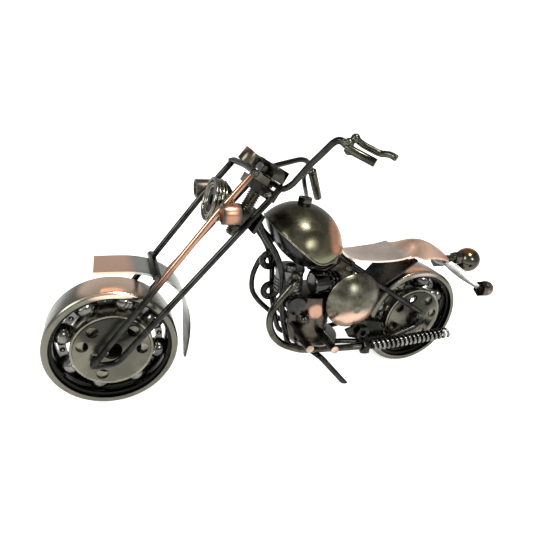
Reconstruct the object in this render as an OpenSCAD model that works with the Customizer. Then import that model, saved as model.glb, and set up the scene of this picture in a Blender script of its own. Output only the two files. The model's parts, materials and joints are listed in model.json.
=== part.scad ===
// Chopper motorcycle ornament, welded from ball bearings, steel rod, bolts, nuts and stamped sheet.
// Millimetres. The machine faces -X, -Y is its left side and +Z is up.
// The origin is on the ground, under the middle of the whole object.
// Most places are measured from the front axle: x from the axle, y from the middle, z from the ground.

/* [Layout] */
// Distance between the two axles
wheelbase = 131; // [130.6:0.1:131.4]
// Front axle's distance ahead of the middle of the object
front_reach = 71.5; // [70:0.1:73]

/* [Wheels] */
// Radius of the ball bearing that is used as a wheel
wheel_r = 23.5; // [23.3:0.1:23.6]
// Width of that bearing
wheel_w = 14; // [13.8:0.1:14]
// Number of balls in each bearing
ball_count = 8; // [6:1:8]
// Radius of each ball
ball_r = 3.97; // [3.9:0.01:3.98]
// Radius of the circle on which the balls run
ball_pitch_r = 17.1; // [17.05:0.01:17.15]
// Gap between a ball and its groove
ball_gap = 0.06; // [0.03:0.01:0.1]
// Thickness of the discs that close the bearing's bore
hub_disc_t = 1.2; // [0.8:0.1:1.2]

/* [Rods] */
// Diameter of the fork rods
fork_rod_d = 2.4; // [2.3:0.1:2.5]
// Distance of each fork rod from the middle of the machine
fork_half = 12.1; // [12:0.1:12.3]
// Diameter of the frame's rods
frame_rod_d = 2.4; // [2.3:0.1:2.5]
// Diameter of the handlebar rod
bar_d = 2.3; // [2.2:0.1:2.5]
// Diameter of the exhaust header
header_d = 3; // [2.8:0.1:3.2]

/* [Steering] */
// Diameter of the bolt that the fork turns on
bolt_d = 5; // [4.9:0.05:5]
// Gap all round the bolt in the neck nut
bolt_gap = 0.08; // [0.04:0.01:0.1]
// Size across the flats of the neck nut and of the bolt's head
nut_af = 8; // [7.5:0.1:8.2]

/* [Sheet] */
// Thickness of the fenders and the seat
sheet_t = 0.8; // [0.6:0.1:0.9]
// Half of the front fender's width
front_fender_half = 7.4; // [7:0.1:8]

/* [Tank and caps] */
// Radius of the domed tank
tank_r = 18.2; // [18:0.1:18.4]
// Radius of the domed side caps
side_cap_r = 12.8; // [12.5:0.05:12.9]

/* [Hidden] */
$fn = 48;

gunmetal = "#6f6c62";
black = "#2b2b2b";
copper = "#b9886a";
pale = "#8f8f88";

// ---------- points and directions ----------

function unit(v) = v / norm(v);

// Direction of a path at its point i.
function tangent(p, i) =
    i == 0 ? unit(p[1] - p[0]) :
    i == len(p) - 1 ? unit(p[i] - p[i - 1]) :
    unit(unit(p[i + 1] - p[i]) + unit(p[i] - p[i - 1]));

// One direction across the path at each point, carried along without twisting.
function sides(p, i, s) =
    i == len(p) ? [] :
    let (t = tangent(p, i), n = unit(s - (s * t) * t))
    concat([n], sides(p, i + 1, n));

// k points round c, in the plane across t, starting from n.
function ring(c, t, n, r, k) =
    let (b = cross(t, n))
    [for (j = [0:k - 1]) c + r * (cos(360 * j / k) * n + sin(360 * j / k) * b)];

// A corner at b, cut back by r on both sides and replaced by a curve of n steps.
function corner(a, b, c, r, n) =
    let (
        back = min(r, 0.45 * norm(a - b)),
        on = min(r, 0.45 * norm(c - b)),
        p = b + back * unit(a - b),
        q = b + on * unit(c - b)
    )
    [for (j = [0:n]) let (u = j / n) (1 - u) * (1 - u) * p + 2 * u * (1 - u) * b + u * u * q];

// A path with all of its inner corners rounded.
function round_path(p, r, n = 4) = [
    p[0],
    for (i = [1:len(p) - 2]) each corner(p[i - 1], p[i], p[i + 1], r, n),
    p[len(p) - 1]
];

function side_view(p, y) = [for (q = p) [q[0], y, q[1]]];

// ---------- shared shapes ----------

module from_front_axle() {
    translate([-front_reach, 0, 0]) children();
}

// A bent rod of round section, k-sided, along a path.
module swept_rod(path, d, start_side = [0, 1, 0], k = 12) {
    n = sides(path, 0, start_side);
    last = len(path) - 1;
    points = [for (i = [0:last]) each ring(path[i], tangent(path, i), n[i], d / 2, k)];
    faces = [
        [for (j = [0:k - 1]) j],
        for (i = [0:last - 1], j = [0:k - 1])
            let (a = i * k + j, b = i * k + (j + 1) % k)
            [a, a + k, b + k, b],
        [for (j = [k - 1:-1:0]) last * k + j]
    ];
    polyhedron(points, faces, convexity = 8);
}

// A straight round bar between two points.
module straight_rod(p, q, d) {
    v = q - p;
    translate(p)
        rotate([0, acos(v[2] / norm(v)), atan2(v[1], v[0])])
            cylinder(d = d, h = norm(v));
}

// A bar across the machine, from y0 to y1.
module cross_rod(x, z, y0, y1, d) {
    translate([x, y0, z]) rotate([-90, 0, 0]) cylinder(d = d, h = y1 - y0);
}

module hex_nut(af, h, bore_d) {
    difference() {
        cylinder(d = af / cos(30), h = h, $fn = 6);
        translate([0, 0, -1]) cylinder(d = bore_d, h = h + 2);
    }
}

// A strip of pressed sheet. Each station is [x, z of the middle, half width, crown].
function strip_up(s, i) =
    let (
        a = s[max(i - 1, 0)],
        b = s[min(i + 1, len(s) - 1)],
        t = unit([b[0] - a[0], b[1] - a[1]])
    )
    [-t[1], 0, t[0]];

function strip_row(s, i, lift, k) = [
    for (j = [0:k])
        let (v = 2 * j / k - 1)
        [s[i][0], v * s[i][2], s[i][1]] + (lift - s[i][3] * v * v) * strip_up(s, i)
];

module pressed_strip(s, t, k = 6) {
    last = len(s) - 1;
    w = k + 1;
    under = (last + 1) * w;
    points = [
        for (i = [0:last]) each strip_row(s, i, t / 2, k),
        for (i = [0:last]) each strip_row(s, i, -t / 2, k)
    ];
    faces = [
        for (i = [0:last - 1], j = [0:k - 1])
            let (a = i * w + j, b = a + w)
            each [
                [a, a + 1, b + 1], [a, b + 1, b],
                [under + a, under + b + 1, under + a + 1], [under + a, under + b, under + b + 1]
            ],
        for (i = [0:last - 1])
            let (a = i * w, b = a + w, c = a + k, d = b + k)
            each [
                [a, b, under + b], [a, under + b, under + a],
                [c, under + d, d], [c, under + c, under + d]
            ],
        for (j = [0:k - 1])
            let (a = j, b = last * w + j)
            each [
                [a, under + a + 1, a + 1], [a, under + a, under + a + 1],
                [b, b + 1, under + b + 1], [b, under + b + 1, under + b]
            ]
    ];
    polyhedron(points, faces, convexity = 6);
}

// ---------- bearings used as wheels ----------

face_y = wheel_w / 2;
race_land_r = 19.9;
race_recess_r = 21;
inner_land_r = 14.4;
bore_r = 10;
seat_r = 13.45;
seat_depth = 1;
face_step = 1.6;
chamfer = 0.8;
hub_disc_r = 13.4;
groove_r = ball_r + ball_gap;
ball_start = 28;

module on_axle(x) {
    translate([x, 0, wheel_r]) rotate([90, 0, 0]) children();
}

module groove() {
    rotate_extrude($fn = 96) translate([ball_pitch_r, 0]) circle(r = groove_r);
}

module outer_race(x) {
    color(gunmetal) on_axle(x) difference() {
        rotate_extrude($fn = 96) polygon([
            [race_land_r, -face_y + face_step], [race_recess_r, -face_y + face_step],
            [race_recess_r, -face_y], [wheel_r - chamfer, -face_y], [wheel_r, -face_y + chamfer],
            [wheel_r, face_y - chamfer], [wheel_r - chamfer, face_y], [race_recess_r, face_y],
            [race_recess_r, face_y - face_step], [race_land_r, face_y - face_step]
        ]);
        groove();
    }
}

module inner_race(x) {
    color(gunmetal) on_axle(x) difference() {
        cylinder(r = inner_land_r, h = wheel_w, center = true, $fn = 96);
        cylinder(r = bore_r, h = wheel_w + 2, center = true);
        for (s = [-1, 1])
            translate([0, 0, s * face_y])
                cylinder(r = seat_r, h = 2 * seat_depth, center = true, $fn = 96);
        groove();
    }
}

module at_balls(x) {
    on_axle(x) for (i = [0:ball_count - 1])
        rotate([0, 0, ball_start + i * 360 / ball_count])
            translate([ball_pitch_r, 0, 0]) children();
}

module balls(x) {
    color(pale) at_balls(x) sphere(r = ball_r);
}

cage_w = 9.8;
cage_t = 1;
cage_gap = 0.05;

module cage(x) {
    color(black) difference() {
        on_axle(x) difference() {
            cylinder(r = ball_pitch_r + cage_t / 2, h = cage_w, center = true, $fn = 96);
            cylinder(r = ball_pitch_r - cage_t / 2, h = cage_w + 2, center = true, $fn = 96);
        }
        at_balls(x) rotate([0, 90, 0]) cylinder(r = ball_r + cage_gap, h = 6, center = true);
    }
}

// Discs that close the bore on both sides, with a large middle hole and smaller ones round it.
disc_hole_r = 3.4;
small_hole_r = 2.1;
small_hole_ring = 10.4;

module hub_discs(x, angles) {
    inside = face_y - seat_depth;
    color(gunmetal) on_axle(x) for (s = [-1, 1])
        translate([0, 0, s * (inside + hub_disc_t / 2)]) difference() {
            cylinder(r = hub_disc_r, h = hub_disc_t, center = true, $fn = 96);
            cylinder(r = disc_hole_r, h = 3, center = true);
            for (a = angles)
                rotate([0, 0, a]) translate([small_hole_ring, 0, 0])
                    cylinder(r = small_hole_r, h = 3, center = true);
        }
}

front_holes = [-2, 45, 127, 164, 248];
rear_holes = [8, 51, 104, 145, 200, 250, 310];

module front_outer_race() from_front_axle() outer_race(0);
module front_inner_race() from_front_axle() inner_race(0);
module front_cage() from_front_axle() cage(0);
module front_balls() from_front_axle() balls(0);
module front_hub_discs() from_front_axle() hub_discs(0, front_holes);
module rear_outer_race() from_front_axle() outer_race(wheelbase);
module rear_inner_race() from_front_axle() inner_race(wheelbase);
module rear_cage() from_front_axle() cage(wheelbase);
module rear_balls() from_front_axle() balls(wheelbase);
module rear_hub_discs() from_front_axle() hub_discs(wheelbase, rear_holes);

hub_face = face_y - seat_depth + hub_disc_t;
rear_stud_x = wheelbase + 3;
rear_stud_z = 25;
rear_half = 8.7;

module rear_weld_studs() {
    color(black) from_front_axle() for (s = [-1, 1])
        cross_rod(rear_stud_x, rear_stud_z, s > 0 ? hub_face : -rear_half,
            s > 0 ? rear_half : -hub_face, 4.6);
}

// ---------- fork ----------

front_rod_lean = 52.2;
hub_end = [-6.8, 21.3];
hub_bend = [1.3, 21.3];
front_rod_kink = [34.9, 76.1];
front_rod_top = [46.4, 89.6];
rear_rod_top = [57.2, 85.7];

stud = [-6.2, 21.2];
stud_d = 3;

module fork_leg(s) {
    color(black) from_front_axle() union() {
        swept_rod(side_view([front_rod_top, front_rod_kink, hub_end], s * fork_half), fork_rod_d);
        swept_rod(round_path(side_view([hub_end, hub_bend, rear_rod_top], s * fork_half), 3),
            fork_rod_d);
        cross_rod(stud[0], stud[1], s > 0 ? hub_face : -fork_half,
            s > 0 ? fork_half : -hub_face, stud_d);
    }
}
module fork_rod_left() fork_leg(-1);
module fork_rod_right() fork_leg(1);

lamp_bracket = [38.2, 78.6];

module fork_cross_rods() {
    color(black) from_front_axle() {
        swept_rod(round_path([
            [46.2, -fork_half, 89.2], [46.9, -11.4, 90.1], [46.9, 0, 90.1], [45.8, 11.4, 89.6],
            [45.4, fork_half, 88.6]
        ], 2), fork_rod_d, [1, 0, 0]);
        for (s = [-1, 1])
            cross_rod(lamp_bracket[0], lamp_bracket[1], s > 0 ? 7.2 : -fork_half,
                s > 0 ? fork_half : -7.2, 2.4);
    }
}

// ---------- steering ----------

steer_foot = [47.7, 73];
steer_lean = 27.9;

module on_steering_axis(s) {
    from_front_axle() translate([steer_foot[0], 0, steer_foot[1]])
        rotate([0, steer_lean, 0]) translate([0, 0, s]) children();
}

neck_low = -4.5;
neck_high = 1;

module neck_nut() {
    color(black) on_steering_axis(neck_low)
        hex_nut(nut_af, neck_high - neck_low, bolt_d + 2 * bolt_gap);
}

head_low = 12.3;
head_h = 3.2;
bolt_end = -9.7;

module steering_bolt() {
    color(gunmetal) on_steering_axis(bolt_end) cylinder(d = bolt_d, h = head_low - bolt_end);
    color(gunmetal) on_steering_axis(head_low)
        cylinder(d = nut_af / cos(30), h = head_h, $fn = 6);
}

jam_low = -7;
ring_nut_at = [52.2, 89.8];

module steering_nuts() {
    color(black) {
        on_steering_axis(jam_low) hex_nut(nut_af, 2, bolt_d);
        from_front_axle() translate([ring_nut_at[0], 1, ring_nut_at[1]]) rotate([90, 0, 0])
            difference() {
                cylinder(r = 3.3, h = 2);
                translate([0, 0, -1]) cylinder(r = 1.5, h = 4);
            }
    }
}

yoke_low = 8.8;
yoke_h = 3.5;
yoke_half = fork_half - fork_rod_d / 2 + 0.2;

module upper_yoke() {
    color(black) on_steering_axis(yoke_low) difference() {
        translate([-3.5, -yoke_half, 0]) cube([7, 2 * yoke_half, yoke_h]);
        translate([0, 0, -1]) cylinder(d = bolt_d, h = yoke_h + 2);
    }
}

plate_near = nut_af / 2;
plate_half = 7.3;

module neck_plate() {
    color(black) on_steering_axis(neck_low)
        translate([plate_near, -plate_half, 0]) cube([1.4, 2 * plate_half, 7.5]);
}

// ---------- handlebar ----------

bar_left = [
    [69.2, -29, 102], [67.9, -27.8, 103.5], [66.6, -26, 102.8], [65, -21.5, 98],
    [63.6, -18, 94.4], [60, -12.8, 86], [57.8, -10.5, 83.9]
];
bar_right = [
    [57.8, 10.5, 83.9], [59.6, 12.2, 86.6], [64.4, 14, 87.6], [77.7, 22, 88.8], [81.6, 24, 88.2],
    [83.8, 25.2, 86], [86, 26, 82.9]
];

module handlebar() {
    color(black) from_front_axle()
        swept_rod(round_path(concat(bar_left, bar_right), 2, 3), bar_d, [1, 0, 0]);
}

grip_d = 2.6;
grip_left = [[69, -28.8, 101.6], [76.6, -34.6, 98.2]];
grip_right = [[86.2, 26, 82.5], [93.2, 31, 70]];

module grips() {
    color(black) from_front_axle() {
        straight_rod(grip_left[0], grip_left[1], grip_d);
        straight_rod(grip_right[0], grip_right[1], grip_d + 1.1);
    }
}

lever_d = 2.1;
lever_left = [
    [72.4, -28.2, 104.2], [74.5, -29.4, 102.6], [79.2, -32.2, 100.6], [81.2, -34.2, 100.9],
    [82.6, -36.2, 100]
];
lever_right = [[84.3, 25.6, 84.6], [82.3, 26.4, 81], [84.4, 28.6, 76.4], [90.6, 36.1, 67]];

module control_levers() {
    color(black) from_front_axle() {
        swept_rod(round_path(lever_left, 1, 2), lever_d, [0, 0, 1]);
        swept_rod(round_path(lever_right, 1, 2), lever_d, [1, 0, 0]);
    }
}

module control_balls() {
    color(black) from_front_axle() {
        translate([70.8, -28.4, 100.8]) sphere(r = 1.7);
        translate([72.3, -28.2, 104.2]) sphere(r = 1.5);
        translate([70.1, -28.6, 102.8]) sphere(r = 1.6);
        translate([86.2, 25.8, 82.9]) sphere(r = 1.7);
    }
}

clamp_at = [56.2, 88.8];
clamp_half = 11.4;

module clamp_bar() {
    color(black) from_front_axle() translate([clamp_at[0], 0, clamp_at[1]])
        rotate([0, steer_lean, 0]) cube([5, 2 * clamp_half, 4.5], center = true);
}

gauge_at = [48.5, 92.5];
gauge_h = 4.9;

module speedometer() {
    color(copper) from_front_axle() translate([gauge_at[0], 0, gauge_at[1]])
        rotate([0, 90 - front_rod_lean, 0]) difference() {
            cylinder(r = 3.35, h = gauge_h, center = true);
            translate([0, 0, -1]) cylinder(r = 2.6, h = gauge_h);
        }
}

// ---------- lamps ----------

lamp_at = [36.6, 77.3];
lamp_tilt = -76;
lamp_r = 8;
lamp_core_r = 5.4;
lamp_w = 5;

module on_lamp() {
    from_front_axle() translate([lamp_at[0], 0, lamp_at[1]]) rotate([0, lamp_tilt, 0]) children();
}

module headlight_ring() {
    color(gunmetal) on_lamp() difference() {
        cylinder(r = lamp_r, h = lamp_w, center = true);
        cylinder(r = lamp_core_r, h = lamp_w + 2, center = true);
    }
}

module headlight_core() {
    color(black) on_lamp() translate([0, 0, -0.5]) difference() {
        cylinder(r = lamp_core_r, h = 3.4, center = true);
        cylinder(r = 1.9, h = 5, center = true);
    }
}

shell_r = 8.2;
shell_ahead = 3.8;

module headlight_shell() {
    color(black) on_lamp() translate([0, 0, -lamp_w / 2]) difference() {
        translate([0, 0, shell_ahead]) sphere(r = shell_r);
        translate([0, 0, shell_ahead]) sphere(r = shell_r - sheet_t);
        cylinder(r = 2 * shell_r, h = 2 * shell_r);
    }
}

spot_z = 77.4;
spot_r = 3.5;
spot_back = 41.2;
spot_front_left = 35.2;
spot_front_right = 32.8;
spot_half = fork_half + fork_rod_d / 2 + spot_r - 0.1;

module spot_lamps() {
    color(copper) from_front_axle() for (s = [-1, 1])
        let (x = s < 0 ? spot_front_left : spot_front_right, long = spot_back - x)
        translate([x, s * spot_half, spot_z]) rotate([0, 90, 0]) difference() {
            cylinder(r = spot_r, h = long);
            translate([0, 0, -1]) cylinder(r = spot_r - 0.9, h = long - 0.4);
        }
}

// ---------- front fender ----------

fender_line = [
    [-4.6, 54.4], [1, 54.5], [8, 54.3], [13.3, 53.1], [18.5, 50.8], [22, 48], [25, 44],
    [26.8, 39], [27.6, 33.6], [27.6, 27], [27.4, 20], [27.2, 12.5]
];
fender_widths = [7.2, 7.4, 7.4, 7.4, 7.4, 7.4, 7.4, 7.4, 7.4, 7.2, 4.6, 0.8];

module front_fender() {
    stations = [
        for (i = [0:len(fender_line) - 1])
            [fender_line[i][0], fender_line[i][1], fender_widths[i] * front_fender_half / 7.4, 0]
    ];
    color(copper) from_front_axle() pressed_strip(stations, sheet_t, 2);
}

// Flat strip over the fender, welded to the front rods.
stay_at = [15.6, 53.2];
stay_tilt = 22;

module fender_stay() {
    color(black) from_front_axle() translate([stay_at[0], 0, stay_at[1]])
        rotate([0, stay_tilt, 0]) cube([3, 2 * (fork_half - 1), 1.2], center = true);
}

// ---------- frame ----------

down_half = 6;
rail_z = 15;

function frame_line(s) = [
    [52, s * down_half, 70.7], [55, s * down_half, 65], [60.6, s * down_half, 57.5],
    [63.6, s * down_half, 48.5], [64.4, s * down_half, 39], [65.6, s * down_half, 30],
    [70, s * down_half, rail_z], [94, s * down_half, rail_z], [105.4, s * rear_half, rail_z],
    [118, s * rear_half, rail_z], [133.2, s * rear_half, 20.2], [133.8, s * rear_half, 24.4]
];

module frame_tube(s) {
    color(black) from_front_axle()
        swept_rod(round_path(frame_line(s), 4, 3), frame_rod_d);
}
module frame_tube_left() frame_tube(-1);
module frame_tube_right() frame_tube(1);

seat_bar = [92.6, 53.3];

module spine_rods() {
    color(black) from_front_axle() {
        swept_rod(side_view([[53, 69], [57, 64.4], [60.6, 61]], 0), 2.4);
        swept_rod(round_path(side_view([
            [77, 49.6], [84.5, 46.6], [seat_bar[0] - 1, seat_bar[1] - 1.8]
        ], 0), 3, 3), 2.4);
        cross_rod(seat_bar[0], seat_bar[1], -rear_half, rear_half, 2.5);
    }
}

stay_top = [91.3, 52.7];
stay_end = [132.9, 27.3];

module upper_stays() {
    color(black) from_front_axle() for (s = [-1, 1])
        straight_rod([stay_top[0], s * rear_half, stay_top[1]],
            [stay_end[0], s * rear_half, stay_end[1]], bar_d);
}

// ---------- tank, seat and rear fenders ----------

tank_at = [70.6, 58.3];
tank_lean = 35.6;
tank_roll = 4.4;
rim_lift = 1.9;
pan_drop = 7;
rim_r = sqrt(tank_r * tank_r - rim_lift * rim_lift);
pan_r = (rim_r * rim_r + pan_drop * pan_drop) / (2 * pan_drop);
pan_c = rim_lift - pan_drop + pan_r;

module on_tank() {
    from_front_axle() translate([tank_at[0], 0, tank_at[1]]) rotate([tank_roll, 0, 0])
        rotate([0, tank_lean, 0]) children();
}

module tank_dome() {
    color(gunmetal) on_tank() difference() {
        sphere(r = tank_r, $fn = 96);
        sphere(r = tank_r - sheet_t, $fn = 96);
        translate([0, 0, rim_lift - 30]) cube([60, 60, 60], center = true);
    }
}

module tank_pan() {
    color(black) on_tank() difference() {
        translate([0, 0, pan_c]) sphere(r = pan_r, $fn = 96);
        translate([0, 0, pan_c]) sphere(r = pan_r - sheet_t, $fn = 96);
        translate([0, 0, rim_lift + 50]) cube([100, 100, 100], center = true);
    }
}

filler_tilt = 4;

module filler_cap() {
    color(black) from_front_axle() translate([tank_at[0], 0, tank_at[1]])
        rotate([0, filler_tilt, 0]) translate([0, 0, tank_r - 0.9])
            hex_nut(5.2, 3, 2.4);
}

seat_stations = [
    [89.2, 57.6, 4, 0], [90.9, 55.6, 5, 0], [93.5, 54.4, 6, 0], [97, 53.8, 7.1, 0],
    [102, 53.7, 8.2, 0], [107.5, 53.8, 9, 0], [114.5, 54.3, 9.5, 0], [119.7, 55.7, 9.5, 0]
];

module seat() {
    color(copper) from_front_axle() pressed_strip(seat_stations, sheet_t, 2);
}

module rear_fender_lower() {
    color(black) from_front_axle() pressed_strip([
        [109, 40.2, 7.2, 0], [112.6, 43.9, 8.2, 0], [116.5, 47.1, 8.8, 0], [120.2, 50.3, 9, 0],
        [124.2, 53.5, 9, 0]
    ], sheet_t, 2);
}

module rear_fender_upper() {
    color(copper) from_front_axle() pressed_strip([
        [118.6, 54.7, 9, 0.2], [120.8, 57.1, 9, 2.3], [123.6, 58.8, 8.8, 4.6],
        [127, 59.6, 8.2, 6], [130.5, 59.4, 7.4, 6.6], [134, 58.5, 6.4, 6.1],
        [137.6, 57, 5.3, 5.1], [141.2, 55, 4.2, 3.9], [144.8, 52.6, 3.1, 2.6],
        [148.4, 50, 2.2, 1.2]
    ], sheet_t, 8);
}

// ---------- tail ----------

arm_root = [149, 0, 47.5];
arm_tip = [154.8, 13.6, 42.3];
far_lift = 1.2;
arm_plate_t = 0.9;

// A leaf of sheet from the root to a tip, in a plane that leans forward.
module tail_arm(s) {
    tip = [arm_tip[0], s * arm_tip[1], arm_tip[2] + (s > 0 ? far_lift : 0)];
    d = unit(tip - arm_root);
    up = unit([-0.8, 0, 1]);
    n = unit(up - (up * d) * d);
    w = cross(n, d);
    reach = norm(tip - arm_root);
    multmatrix([
        [d[0], w[0], n[0], arm_root[0]],
        [d[1], w[1], n[1], arm_root[1]],
        [d[2], w[2], n[2], arm_root[2]],
        [0, 0, 0, 1]
    ])
        translate([0, 0, -arm_plate_t / 2]) linear_extrude(arm_plate_t) polygon([
            [-0.8, -1.6], [reach * 0.25, -2], [reach * 0.55, -2.1], [reach * 0.8, -1.7],
            [reach + 2, -0.9], [reach + 2, 0.9], [reach * 0.8, 1.7], [reach * 0.55, 2.1],
            [reach * 0.25, 2], [-0.8, 1.6]
        ]);
}

module tail_bracket() {
    color(pale) from_front_axle() for (s = [-1, 1]) tail_arm(s);
}

tail_ball = [160.9, 48.3];
tail_ball_r = 5.7;

module tail_light() {
    color(gunmetal) from_front_axle() translate([tail_ball[0], 0, tail_ball[1]])
        sphere(r = tail_ball_r);
}

signal_at = [160, 15.2, 40.6];
signal_r = 3.5;
collar_x = 156.6;
collar_len = 2.8;
function signal_z(s) = signal_at[2] + (s > 0 ? far_lift : 0);

module tail_collars() {
    color(copper) from_front_axle() {
        translate([147.4, 0, tail_ball[1] + 1.4]) rotate([0, 92, 0]) {
            cylinder(r = 1.5, h = 10);
            translate([0, 0, 4.8]) cylinder(d = 5.4 / cos(30), h = 3.6, $fn = 6);
        }
        for (s = [-1, 1])
            translate([collar_x, s * signal_at[1], signal_z(s)]) rotate([0, 90, 0])
                cylinder(d = 6.4 / cos(30), h = collar_len, $fn = 6);
    }
}

module turn_signals() {
    color(gunmetal) from_front_axle() for (s = [-1, 1])
        translate([signal_at[0], s * signal_at[1], signal_z(s)]) sphere(r = signal_r);
}

// ---------- engine ----------

crank_at = [80, 0];
crank_r = 9;
plate_low = rail_z + frame_rod_d / 2 - 0.05;
plate_t = 1.5;

module engine_base_plate() {
    color(pale) from_front_axle() translate([83, 0, plate_low]) cylinder(r = 11.4, h = plate_t);
}

module crankcase() {
    color(copper) from_front_axle() translate([crank_at[0], crank_at[1], plate_low + plate_t])
        cylinder(r = crank_r, h = 38.9 - plate_low - plate_t);
}

front_cyl_at = [68.2, -2];
front_cyl_r = 6;

module front_cylinder() {
    color(pale) from_front_axle() {
        translate([front_cyl_at[0], front_cyl_at[1], 40.5]) cylinder(r = front_cyl_r, h = 10.3);
        translate([front_cyl_at[0] - 1, front_cyl_at[1] - 2.4, 50.8]) cylinder(r = 2.4, h = 2.2);
    }
}

rear_cyl = [77.5, -5, 43.7];
rear_cyl_r = 5;
rear_cyl_len = 11.5;

module rear_cylinder() {
    color(black) from_front_axle() translate(rear_cyl) rotate([0, 90, 0]) {
        cylinder(r = rear_cyl_r, h = rear_cyl_len);
    }
}

lug_y = 4.85;
lugs = [[61.4, 51.4], [63.1, 37.4]];

// Nuts on the near side, and washers on the far down tube.
module engine_fasteners() {
    color(gunmetal) from_front_axle() {
        translate([104.6, -12.4, 15]) rotate([0, -90, 0]) hex_nut(6, 2.4, header_d);
        translate([102.3, -9.2, 21.2]) rotate([90, 0, 0]) hex_nut(6, 2.4, 2.6);
        for (p = lugs) translate([p[0], lug_y, p[1]]) rotate([90, 0, 0]) difference() {
            cylinder(r = 4.2, h = 1.3);
            translate([0, 0, -1]) cylinder(r = 1.6, h = 4);
        }
    }
}

module timing_cover() {
    color(black) from_front_axle()
        cross_rod(68.8, 37.6, -11.6, -7.1, 7.6);
}

cap_at = [94.9, 37.4];
cap_face = 10;
cap_bulge = 6;
cap_dome_r = (side_cap_r * side_cap_r + cap_bulge * cap_bulge) / (2 * cap_bulge);

module side_caps() {
    color(gunmetal) from_front_axle() for (s = [-1, 1])
        translate([cap_at[0], s * cap_face, cap_at[1]]) rotate([-s * 90, 0, 0]) difference() {
            translate([0, 0, cap_bulge - cap_dome_r]) sphere(r = cap_dome_r, $fn = 96);
            translate([0, 0, cap_bulge - cap_dome_r])
                sphere(r = cap_dome_r - sheet_t, $fn = 96);
            translate([0, 0, -20]) cube([60, 60, 40], center = true);
        }
}

spindle_d = 5;

module cap_spindle() {
    color(black) from_front_axle()
        cross_rod(cap_at[0] - 0.5, cap_at[1] + 0.5, -15.1, 15.1, spindle_d);
}

module breather_ball() {
    color(gunmetal) from_front_axle() union() {
        translate([73.5, -10.8, 30.8]) sphere(r = 2);
        cross_rod(73.5, 30.8, -10, -5.8, 2.4);
    }
}

header_line = [
    [68.2, -8.4, 48.4], [66.8, -10.8, 47.6], [61.6, -11, 41.2], [58.3, -11, 36], [58, -11, 30.4],
    [60.2, -11, 24.8], [64.7, -11, 20.2], [73.2, -11, 16.4], [82.6, -11, 15.6],
    [96.4, -11.2, 14.7], [106.5, -12.4, 15.2]
];

module exhaust_header() {
    color(gunmetal) from_front_axle()
        swept_rod(round_path(header_line, 3, 3), header_d);
}

muffler_from = [106.5, -12.8, 15.2];
muffler_to = [148.2, -12.8, 17.2];
muffler_d = 5.2;

module muffler_spring() {
    color(black) from_front_axle() straight_rod(muffler_from, muffler_to, muffler_d);
}

far_line = [
    [66, 3.4, 50.6], [63, 10.6, 51.2], [60.4, 12, 49.2], [57.3, 12, 41.2], [57.6, 12, 34],
    [61.1, 12, 28.6], [66.5, 12, 23.4], [73, 11.6, 17.4], [82.6, 11, 15.6], [97, 11, 14.8]
];

module far_pipe() {
    color(black) from_front_axle() swept_rod(round_path(far_line, 3, 3), frame_rod_d);
}

peg_d = 3.3;
peg_out = 22;

module foot_pegs() {
    color(black) from_front_axle() for (s = [-1, 1], p = [[71.7, 24.3, 3.2], [82.9, 22.3, 8.3]])
        cross_rod(p[0], p[1], s > 0 ? p[2] : -peg_out, s > 0 ? peg_out : -p[2], peg_d);
}

stand_line = [[79.6, -6, 13], [81.6, -11.4, 13], [82.9, -12.6, 12.2], [95.6, -16.6, -1.5]];

module kickstand() {
    color(black) difference() {
        from_front_axle() swept_rod(round_path(stand_line, 1, 2), 2.6, [0, 0, 1]);
        translate([0, 0, -10]) cube([300, 100, 20], center = true);
    }
}

module chain_plate() {
    color(black) from_front_axle() translate([0, -8.2, 0]) rotate([90, 0, 0]) linear_extrude(1)
        polygon([
            [94.5, 22.3], [97, 18.5], [104.6, 16.15], [116.4, 16.15], [111.8, 24.5],
            [104.2, 26.3]
        ]);
}

// ---------- assembly ----------

neck_nut();
neck_plate();
frame_tube_left();
frame_tube_right();
spine_rods();
upper_stays();
rear_weld_studs();
rear_inner_race();
rear_hub_discs();
tank_dome();
tank_pan();
filler_cap();
seat();
rear_fender_lower();
rear_fender_upper();
tail_bracket();
tail_light();
tail_collars();
turn_signals();
crankcase();
engine_base_plate();
front_cylinder();
rear_cylinder();
engine_fasteners();
timing_cover();
side_caps();
cap_spindle();
breather_ball();
exhaust_header();
muffler_spring();
far_pipe();
foot_pegs();
kickstand();
chain_plate();
fork_rod_left();
fork_rod_right();
fork_cross_rods();
steering_bolt();
steering_nuts();
upper_yoke();
handlebar();
grips();
control_levers();
control_balls();
clamp_bar();
speedometer();
headlight_ring();
headlight_core();
headlight_shell();
spot_lamps();
front_fender();
fender_stay();
front_inner_race();
front_hub_discs();
front_outer_race();
front_cage();
front_balls();
rear_outer_race();
rear_cage();
rear_balls();
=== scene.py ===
import json
import math

import bmesh
import bpy
import numpy as np
from mathutils import Matrix, Vector, noise


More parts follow.
